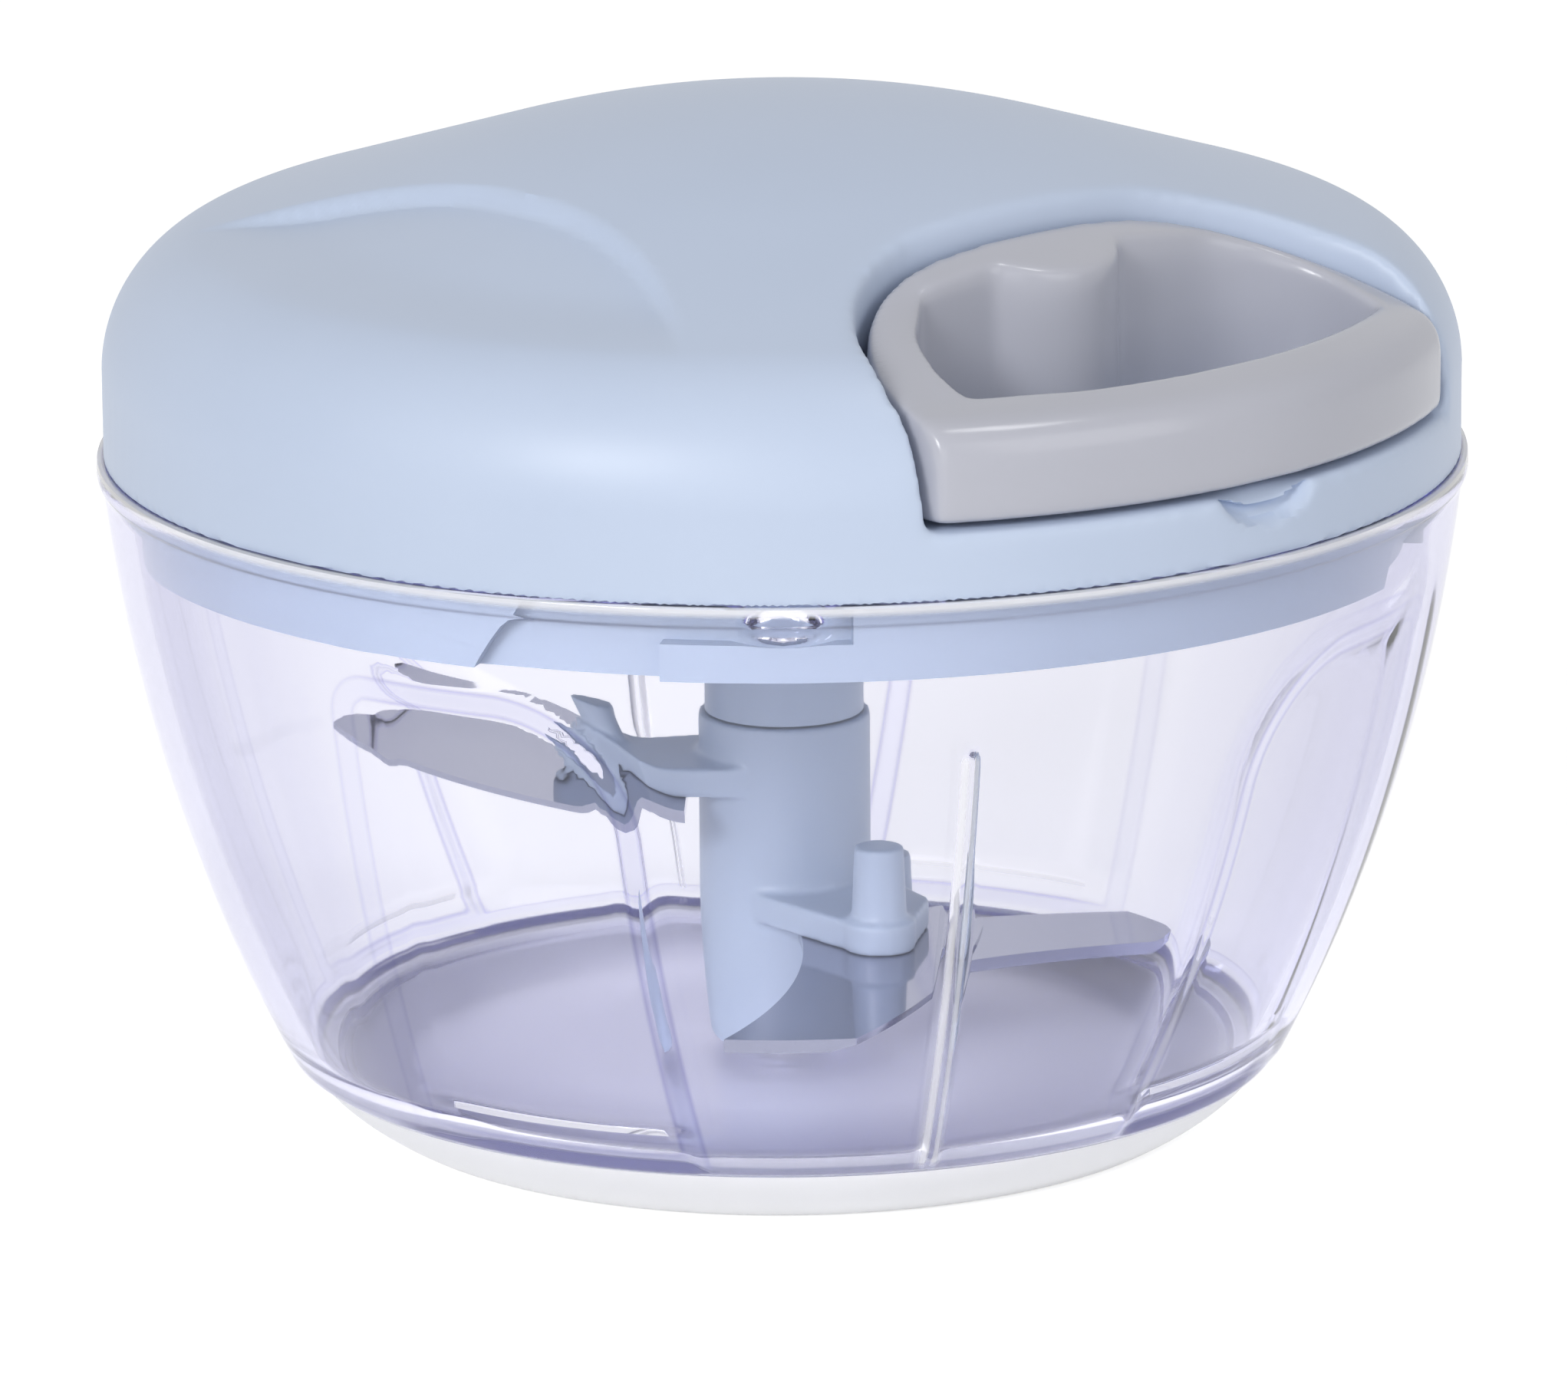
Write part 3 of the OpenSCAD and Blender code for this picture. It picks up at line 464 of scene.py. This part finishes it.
# clear bowl: a curved wall with four sunk arches, two thin ribs, a rim lip and four lock lugs
bowlSet = {
    "columns": 420,
    # outlines from the axis out below, round the lip, and back to the axis inside
    "under": [(0.0, 3.6), (20.0, 3.6), (42.5, 3.6), (43.0, 4.0), (43.0, 5.7), (43.3, 6.0), (45.9, 6.0),
              (46.6, 6.1)],
    "lipLow": [(63.72, 61.8), (64.02, 61.95), (64.1, 62.2), (64.1, 62.7)],
    "lip": [(64.1, 63.25), (64.0, 63.55), (63.7, 63.65)],
    "lipTop": [(63.2, 63.65), (61.9, 63.65), (61.6, 63.5)],
    "floor": [(30.0, 5.6), (15.0, 5.6), (5.4, 5.6), (5.0, 5.9), (5.0, 6.3), (4.8, 6.5), (2.8, 6.5),
              (2.56, 6.3), (2.56, 4.4), (0.0, 4.4)],
    # wall: the circle that its outside follows, and the heights between which its rows run
    "arcR": 161.6, "arcX": -97.02, "arcZ": 79.29, "wall": 2.2,
    "outerFrom": 6.6, "outerTo": 61.5, "outerRows": 80,
    "lugFrom": 63.2, "lugTo": 59.2, "lugRows": 20,
    "innerFrom": 58.0, "innerTo": 11.0, "innerRows": 40,
    "heelX": 39.39, "heelZ": 13.6, "heelR": 8.0, "heelFrom": -25.7, "heelTo": -90.0, "heelRows": 10,
    # arches, in pairs beside a plain panel in front and behind; the far side is the one away from it
    "panelAz": 15.5, "gripOff": 42.5, "gripHalf": 14.0, "gripTop": 53.0, "gripFoot": 7.0,
    "gripCorner": 12.0, "gripFarCorner": 3.0, "gripDepth": 0.8,
    "gripEase": 2.8, "gripInnerEase": 8.0, "gripFarEase": 10.0, "farFrom": 4.0, "farOver": 8.0,
    "gripFacing": 0.5,        # cosine within which an arch can be near, and the same for ribs and lugs
    "ribFacing": 0.9,
    "noEdge": 9.0,            # distance given where no moulded edge is near
    # the painted edge shade fades on the far side of each arch, and a fainter painted line runs along the
    # kink at the arches' foot
    "edgeLoss": 0.6, "edgeLossFrom": 7.0, "edgeLossOver": 7.0,
    "kinkDrop": 0.4, "kinkStretch": 1.8, "kinkShow": 0.7,
    # ribs with a pale line along each side, and extra columns of points across them
    "ribOut": 0.5, "ribHalf": 0.95, "ribTop": 49.5, "ribFade": 1.5,
    "ribLine": 0.55, "ribLineHalf": 0.3, "ribLineReach": 1.5, "ribLineEnd": 0.5, "ribFrost": 0.8,
    "ribColumns": 9, "ribStep": 0.11,
    "lugHalf": 4.3, "lugTall": 1.8, "lugZ": 61.4, "lugIn": 1.9,
}


def wallRadius(z, out=0.0):
    b = bowlSet
    return b["arcX"] + ((b["arcR"] + out) ** 2 - (z - b["arcZ"]) ** 2) ** 0.5


def archDistance(across, z):
    # distance from the outline of one sunk arch, below zero inside it; across runs away from the plain panel
    b = bowlSet
    corner = b["gripCorner"] if across < 0 else b["gripFarCorner"]
    dx = abs(across) - (b["gripHalf"] - corner)
    dz = z - (b["gripTop"] - corner)
    side = (max(dx, 0) ** 2 + max(dz, 0) ** 2) ** 0.5 + min(max(dx, dz), 0) - corner
    return max(side, b["gripFoot"] - z)


def nearestArch(az, r, z):
    # distance to the nearest arch, and how far the spot lies from its middle on the side away from the panel
    b = bowlSet
    best = (b["noEdge"], 0.0)
    for half in (0, 180):
        for sign in (-1, 1):
            turn = radians(az - b["panelAz"] - half - sign * b["gripOff"])
            if cos(turn) > b["gripFacing"]:
                across = sign * r * sin(turn)
                away = archDistance(across, z)
                if away < best[0]:
                    best = (away, across)
    return best


def ribSide(az, r):
    # distance to the side from the middle of the nearest rib, if one is near
    b = bowlSet
    for half in (0, 180):
        turn = radians(az - b["panelAz"] - half)
        if cos(turn) > b["ribFacing"]:
            return abs(r * sin(turn))
    return None


def gripShift(az, r, z, nearEase):
    # how far an arch is sunk here: the inside of the wall follows the outside, with softer edges
    b = bowlSet
    away, across = nearestArch(az, r, z)
    far = ease((across - b["farFrom"]) / b["farOver"])
    wide = nearEase + (b["gripFarEase"] - nearEase) * far
    return -b["gripDepth"] * ease(0.5 - away / wide)


def outerShift(az, r, z):
    b = bowlSet
    shift = gripShift(az, r, z, b["gripEase"])
    side = ribSide(az, r)
    if side is not None and z > b["gripFoot"]:
        up = max(0.0, z - b["ribTop"] + b["ribHalf"])
        near = (side ** 2 + up ** 2) ** 0.5 / b["ribHalf"]
        if near < 1:
            shift += b["ribOut"] * (1 - near ** 2) * ease((z - b["gripFoot"]) / b["ribFade"])
    return shift


def innerShift(az, r, z):
    b = bowlSet
    if z <= b["innerFrom"]:
        return gripShift(az, r, z, b["gripInnerEase"])
    for quarter in range(4):
        turn = radians(az - 90 * quarter)
        if cos(turn) > b["ribFacing"]:
            near = (r * sin(turn) / b["lugHalf"]) ** 2 + ((z - b["lugZ"]) / b["lugTall"]) ** 2
            return -b["lugIn"] * ease(1 - near)
    return 0.0


def edgeValues(az, r, z):
    # distance to the nearest moulded edge outside and how strongly its painted edge shade shows
    b = bowlSet
    away, across = nearestArch(az, r, z)
    kink = (z - b["gripFoot"] + b["kinkDrop"]) * b["kinkStretch"]
    if abs(kink) < min(clearSet["edgeReach"], abs(away)):
        return kink, b["kinkShow"]
    return away, 1.0 - b["edgeLoss"] * ease((across - b["edgeLossFrom"]) / b["edgeLossOver"])


def ribFrost(az, r, z):
    # pale lines along the two edges of each rib
    b = bowlSet
    side = ribSide(az, r)
    if side is None or not b["gripFoot"] < z < b["ribTop"] - b["ribLineEnd"]:
        return 0.0
    return b["ribFrost"] * ease(b["ribLineReach"] - abs(side - b["ribLine"]) / b["ribLineHalf"])


def bowlProfile():
    # radius, height and kind of each row of points
    b = bowlSet
    heel = [radians(a) for a in steps(b["heelFrom"], b["heelTo"], b["heelRows"])]
    innerHeights = steps(b["lugFrom"], b["lugTo"], b["lugRows"])
    innerHeights += steps(b["innerFrom"], b["innerTo"], b["innerRows"])
    rows = [(r, z, "plain") for r, z in b["under"]]
    rows += [(wallRadius(z), z, "outer") for z in steps(b["outerFrom"], b["outerTo"], b["outerRows"])]
    rows += [(r, z, "plain") for r, z in b["lipLow"]]
    rows += [(r, z, "lip") for r, z in b["lip"]]
    rows += [(r, z, "plain") for r, z in b["lipTop"]]
    rows += [(wallRadius(z, -b["wall"]), z, "inner") for z in innerHeights]
    rows += [(b["heelX"] + b["heelR"] * cos(a), b["heelZ"] + b["heelR"] * sin(a), "plain") for a in heel]
    rows += [(r, z, "plain") for r, z in b["floor"]]
    return rows


def bowlPoint(az, r, z, kind):
    # how far the wall is shifted here, the distance to a moulded edge, how strongly its painted edge shade
    # shows, and the frost
    if kind == "outer":
        return outerShift(az, r, z), *edgeValues(az, r, z), ribFrost(az, r, z)
    shift = innerShift(az, r, z) if kind == "inner" else 0.0
    return shift, bowlSet["noEdge"], 0.0, 1.0 if kind == "lip" else 0.0


def makeBowl():
    b = bowlSet
    angles = [360.0 * i / b["columns"] for i in range(b["columns"])]
    for half in (0, 180):
        for i in range(-b["ribColumns"], b["ribColumns"] + 1):
            angles.append(b["panelAz"] + half + b["ribStep"] * i)
    angles = sorted(set(round(a, 3) for a in angles))
    rings = []
    values = {"edgeAway": [], "edgeShadeShow": [], "lipFrost": []}
    for r, z, kind in bowlProfile():
        ring = []
        for az in angles if r > 0 else (0,):
            shift, *spot = bowlPoint(az, r, z, kind)
            turn = radians(az - 90)
            ring.append(((r + shift) * cos(turn), (r + shift) * sin(turn), z))
            for label, value in zip(values, spot):
                values[label].append(value)
        rings.append(ring)
    bowl = ringMesh("bowlShell", rings)
    for label in values:
        bowl.data.attributes.new(label, "FLOAT", "POINT").data.foreach_set("value", values[label])
    dress(bowl, "bowl", "bowl", "clear")
    bowl.visible_shadow = False      # light passes the clear wall without darkening what is inside
    print("bowl made", len(bowl.data.polygons))


makeBowl()

# soft foot ring under the bowl
footSet = {
    "inner": 35.5, "stand": 38.9, "top": 45.8, "bulge": 0.6, "height": 6.0, "seat": 3.6, "step": 43.05,
    "play": 0.05, "topPlay": 0.02,                       # gaps to the bowl's step
    "innerEdge": 0.6, "standEdge": 0.7, "toe": 0.12, "topEdge": 0.3, "stepEdge": 0.2, "seatEdge": 0.4,
    "curveFrom": 0.06, "curveRows": 16, "columns": 256, "weld": 0.01,
}


def makeFoot():
    f = footSet
    top = f["height"] - f["topPlay"]
    seat = f["seat"] - f["play"]
    wall = f["step"] + f["play"]
    rows = [(f["inner"] + f["innerEdge"], 0.0), (f["stand"] - f["standEdge"], 0.0), (f["stand"], f["toe"])]
    for t in steps(f["curveFrom"], 1.0, f["curveRows"]):
        out = t + f["bulge"] * t * (1 - t)
        rows.append((f["stand"] + (f["top"] - f["stand"]) * out, top * t))
    rows += [(f["top"] - f["topEdge"], top), (f["step"] + f["stepEdge"], top)]
    rows += [(wall, f["height"] - f["topEdge"]), (wall, seat), (f["inner"] + f["seatEdge"], seat)]
    rows += [(f["inner"], f["seat"] - f["seatEdge"]), (f["inner"], f["innerEdge"]), rows[0]]
    turns = [2 * pi * j / f["columns"] for j in range(f["columns"])]
    foot = ringMesh("footRing", [[(r * cos(a), r * sin(a), z) for a in turns] for r, z in rows], f["weld"])
    dress(foot, "foot_ring", "bowl", "foot")
    print("foot made")


makeFoot()

# moulded pieces with soft edges: the solid's surface is filled with small even faces and then relaxed
softSet = {"weld": 0.002, "relaxShare": 0.5}


def softCopy(node, name, voxel, turns, weigh=None, gridAz=90.0):
    source = frame["nodes"][node]
    piece = bpy.data.objects.new(name, source.data.copy())
    scene.collection.objects.link(piece)
    onlySelect(piece)
    bpy.ops.object.mode_set(mode="EDIT")
    bpy.ops.mesh.select_all(action="SELECT")
    bpy.ops.mesh.remove_doubles(threshold=softSet["weld"] * mm)
    bpy.ops.object.mode_set(mode="OBJECT")
    # the grid of the fill is turned to lie along the piece's own straight sides
    piece.data.transform(Matrix.Rotation(-radians(gridAz - 90), 4, "Z"))
    fill = piece.modifiers.new("fill", "REMESH")
    fill.mode = "VOXEL"
    fill.voxel_size = voxel * mm
    bpy.ops.object.modifier_apply(modifier="fill")
    piece.data.transform(Matrix.Rotation(radians(gridAz - 90), 4, "Z"))
    relax = piece.modifiers.new("relax", "SMOOTH")
    relax.factor = softSet["relaxShare"]
    relax.iterations = turns
    if weigh:
        group = piece.vertex_groups.new(name="soft")
        for v in piece.data.vertices:
            amount = weigh(v.co / mm)
            if amount > 0:
                group.add([v.index], amount, "REPLACE")
        relax.vertex_group = "soft"
    bpy.ops.object.modifier_apply(modifier="relax")
    bpy.ops.object.shade_smooth()
    return piece


# lid cover: dome with the handle's pocket, the leaf-shaped thumb scoop and a finger recess
lidSet = {
    "radius": 63.4, "top": 96.3, "rim": 63.7,
    "crownR": 106.0, "flank": 17.2, "shoulderR": 13.5, "shoulderZ": 71.69,
    "handleAz": 43.5, "pocketBack": 32.0, "pocketHalf": 33.3, "pocketCorner": 21.0, "pocketFloor": 69.8,
    "pocketRound": 1.2, "pocketFade": 2.0,        # rounded band beside the pocket that stays as it is
    "leafAz": -49.0, "leafBack": 31.1, "leafHalf": 52.4, "leafCorner": 48.6,
    "leafDepth": 1.65, "leafEdge": 1.1, "leafStraight": 0.6, "leafEnd": 56.0, "leafFade": 14.0,
    "cutBack": 29.0, "cutHalf": 35.3, "cutCorner": 31.3,      # the solid's own scoop, smoothed away
    "cutDeep": 1.9,
    "recessHalf": 6.0, "recessTall": 3.3, "recessDeep": 1.3, "recessEdge": 0.22, "recessWall": 0.9,
    "voxel": 0.52, "turns": 24, "softReach": 1.7, "softOver": 2.0, "firmRim": 2.0,
    "snap": 0.6, "snapDeep": 1.8, "upward": 0.3,  # how near the dome a point is drawn onto it
    "crownEnd": 0.3, "skin": 1.2, "keepShare": 0.5, "smoothAngle": 40.0,
}


def turnedPlan(x, y, az):
    # how far a plan place lies out along an azimuth and how far to the side of it
    turn = radians(az - 90)
    return x * cos(turn) + y * sin(turn), y * cos(turn) - x * sin(turn)


def planDistance(x, y, az, back, half, corner):
    # distance from a plan outline with two round back corners that is open outwards, below zero inside it
    u, v = turnedPlan(x, y, az)
    du, dv = back + corner - u, abs(v) - (half - corner)
    return (max(du, 0) ** 2 + max(dv, 0) ** 2) ** 0.5 + min(max(du, dv), 0) - corner


def domeHeight(r):
    m = lidSet
    tilt = radians(m["flank"])
    crownZ = m["top"] - m["crownR"]
    r0 = m["crownR"] * sin(tilt)
    r1 = m["radius"] - m["shoulderR"] + m["shoulderR"] * sin(tilt)
    if r < r0:
        return crownZ + (m["crownR"] ** 2 - r ** 2) ** 0.5
    if r < r1:
        return crownZ + m["crownR"] * cos(tilt) - (r - r0) * tan(tilt)
    reach = min(m["shoulderR"], r - m["radius"] + m["shoulderR"])
    return m["shoulderZ"] + (m["shoulderR"] ** 2 - reach ** 2) ** 0.5


def leafSink(x, y, r):
    # depth of the thumb scoop: a sloped edge all round, running out level before the shoulder
    m = lidSet
    away = planDistance(x, y, m["leafAz"], m["leafBack"], m["leafHalf"], m["leafCorner"])
    slope = min(1.0, max(0.0, 0.5 - away / m["leafEdge"]))
    edge = m["leafStraight"] * slope + (1 - m["leafStraight"]) * ease(slope)
    return m["leafDepth"] * edge * ease((m["leafEnd"] - r) / m["leafFade"])


def recessPush(x, y, z):
    # half-moon finger recess in the wall below the handle
    m = lidSet
    out, side = turnedPlan(x, y, m["handleAz"])
    near = ((side / m["recessHalf"]) ** 2 + ((m["pocketFloor"] - z) / m["recessTall"]) ** 2) ** 0.5
    return m["recessDeep"] * ease((1 - near) / m["recessEdge"]) if out > 0 else 0.0


def pocketAway(co):
    # distance from the handle's pocket, below zero inside it
    m = lidSet
    plan = planDistance(co.x, co.y, m["handleAz"], m["pocketBack"], m["pocketHalf"], m["pocketCorner"])
    return max(plan, m["pocketFloor"] - co.z)


def lidSoftness(co):
    m = lidSet
    if co.z < m["rim"] + m["firmRim"]:
        return 0.0
    soft = ease(m["softReach"] - abs(pocketAway(co)) / m["softOver"])
    r = (co.x ** 2 + co.y ** 2) ** 0.5
    if r < m["leafEnd"] and domeHeight(r) - co.z < m["cutDeep"]:
        cut = planDistance(co.x, co.y, -m["handleAz"], m["cutBack"], m["cutHalf"], m["cutCorner"])
        soft = max(soft, ease(m["softReach"] - abs(cut) / m["softOver"]))
    return soft


def lidPlace(co, upward):
    # where a point of the lid's outside belongs, or None for a point that isn't on it
    m = lidSet
    x, y, z = co
    r = (x * x + y * y) ** 0.5
    keep = ease((pocketAway(co) - m["pocketRound"]) / m["pocketFade"])
    push = recessPush(x, y, z)
    if r > m["radius"] - m["recessWall"] and push > 0:
        return x * (1 - push / r), y * (1 - push / r), z
    if z < m["rim"] + m["snap"] and r > m["radius"] - m["snap"]:
        # a crisp lower edge above the bowl's rim
        if m["radius"] - r <= z - m["rim"]:
            return x * m["radius"] / r, y * m["radius"] / r, z
        return x, y, m["rim"]
    if r < m["radius"] - m["shoulderR"] * m["crownEnd"]:
        hang = domeHeight(r) - z
        if -m["snap"] < hang < m["snapDeep"] and keep > 0 and upward:
            return x, y, z + (hang - leafSink(x, y, r)) * keep
    elif z > m["shoulderZ"]:
        reach = r - m["radius"] + m["shoulderR"]
        span = (reach ** 2 + (z - m["shoulderZ"]) ** 2) ** 0.5
        if abs(span - m["shoulderR"]) < m["snap"] and keep > 0:
            grow = (m["shoulderR"] / span - 1) * keep
            wide = 1 + reach * grow / r
            return x * wide, y * wide, z + (z - m["shoulderZ"]) * grow
    return None


def makeLid():
    m = lidSet
    lid = softCopy("top_cover", "lidCover", m["voxel"], m["turns"], lidSoftness, m["handleAz"])
    hidden = lid.vertex_groups.new(name="hidden")
    upward = [v.normal.z > m["upward"] for v in lid.data.vertices]
    for v in lid.data.vertices:
        co = v.co / mm
        place = lidPlace(co, upward[v.index])
        r = (co.x ** 2 + co.y ** 2) ** 0.5
        hang = domeHeight(min(r, m["radius"])) - co.z
        if place:
            v.co = Vector(place) * mm
        elif min(pocketAway(co), hang, m["radius"] - r) > m["skin"]:
            hidden.add([v.index], 1.0, "REPLACE")
    # the inside that nobody sees keeps fewer faces
    onlySelect(lid)
    thin = lid.modifiers.new("thin", "DECIMATE")
    thin.ratio = m["keepShare"]
    thin.vertex_group = "hidden"
    bpy.ops.object.modifier_apply(modifier="thin")
    lid.vertex_groups.clear()
    bpy.ops.object.shade_smooth_by_angle(angle=radians(m["smoothAngle"]))
    dress(lid, "top_cover", "lid", "blue")
    print("lid made", len(lid.data.polygons))


makeLid()

# pull handle: a loop with a finger hole, whose left side wall is a little thicker than the right one
handleSet = {
    "voxel": 0.28, "turns": 70,
    "back": 33.0, "half": 32.3, "corner": 20.0, "holeFront": 57.4,
    "thicken": 2.3, "thickenBack": 1.5, "backFrom": 50.0, "backOver": 8.0,
    "leftFrom": 14.0, "leftOver": 10.0, "skin": 0.4, "skinOver": 1.2, "frontPast": 3.0, "frontOver": 2.6,
}


def handleAxes():
    # the way the handle is pulled and the way to its right
    turn = radians(lidSet["handleAz"] - 90)
    return Vector((cos(turn), sin(turn), 0)), Vector((-sin(turn), cos(turn), 0))


def makeHandle():
    h = handleSet
    grip = softCopy("handle", "pullHandle", h["voxel"], h["turns"], gridAz=lidSet["handleAz"])
    out, right = handleAxes()
    for v in grip.data.vertices:
        co = v.co / mm
        left = -co.dot(right)
        if left < h["leftFrom"]:
            continue
        deep = -planDistance(co.x, co.y, lidSet["handleAz"], h["back"], h["half"], h["corner"])
        share = ease((deep - h["skin"]) / h["skinOver"]) * ease((left - h["leftFrom"]) / h["leftOver"])
        share *= ease((h["holeFront"] + h["frontPast"] - co.xy.length) / h["frontOver"])
        more = h["thickenBack"] * ease((h["backFrom"] - co.dot(out)) / h["backOver"])
        v.co += right * share * (h["thicken"] + more) * mm
    dress(grip, "handle", "handle", "grey")
    print("handle made", len(grip.data.polygons))


makeHandle()

# blade column with its three arms and pegs
columnSet = {"voxel": 0.33, "turns": 5}


def makeColumn():
    column = softCopy("blade_column", "bladeColumn", columnSet["voxel"], columnSet["turns"])
    # the column is dressed in the darker blue copy, as painted shade inside the bowl
    dress(column, "blade_column", "blades", "bowlShadeBlue")
    print("column made", len(column.data.polygons))


makeColumn()

# pull cord from the guide in the pocket to the knot in the handle, a fixed straight tube; the real cord pays
# out as the handle is pulled
cordSet = {"radius": 1.0, "from": 29.2, "to": 36.3, "height": 78.0, "rings": 60, "sides": 16}


def makeCord():
    c = cordSet
    out, right = handleAxes()
    up = Vector((0, 0, 1))
    turns = [2 * pi * j / c["sides"] for j in range(c["sides"])]
    centres = [out * u + up * c["height"] for u in steps(c["from"], c["to"], c["rings"])]
    rings = [[tuple(centres[0])]]
    for centre in centres[1:-1]:
        rings.append([tuple(centre + (right * cos(a) + up * sin(a)) * c["radius"]) for a in turns])
    rings.append([tuple(centres[-1])])
    cord = ringMesh("pullCord", rings)
    cord.data.materials.append(finish["cord"])
    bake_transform(cord)
    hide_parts("cord_lead")
    print("cord made")


makeCord()
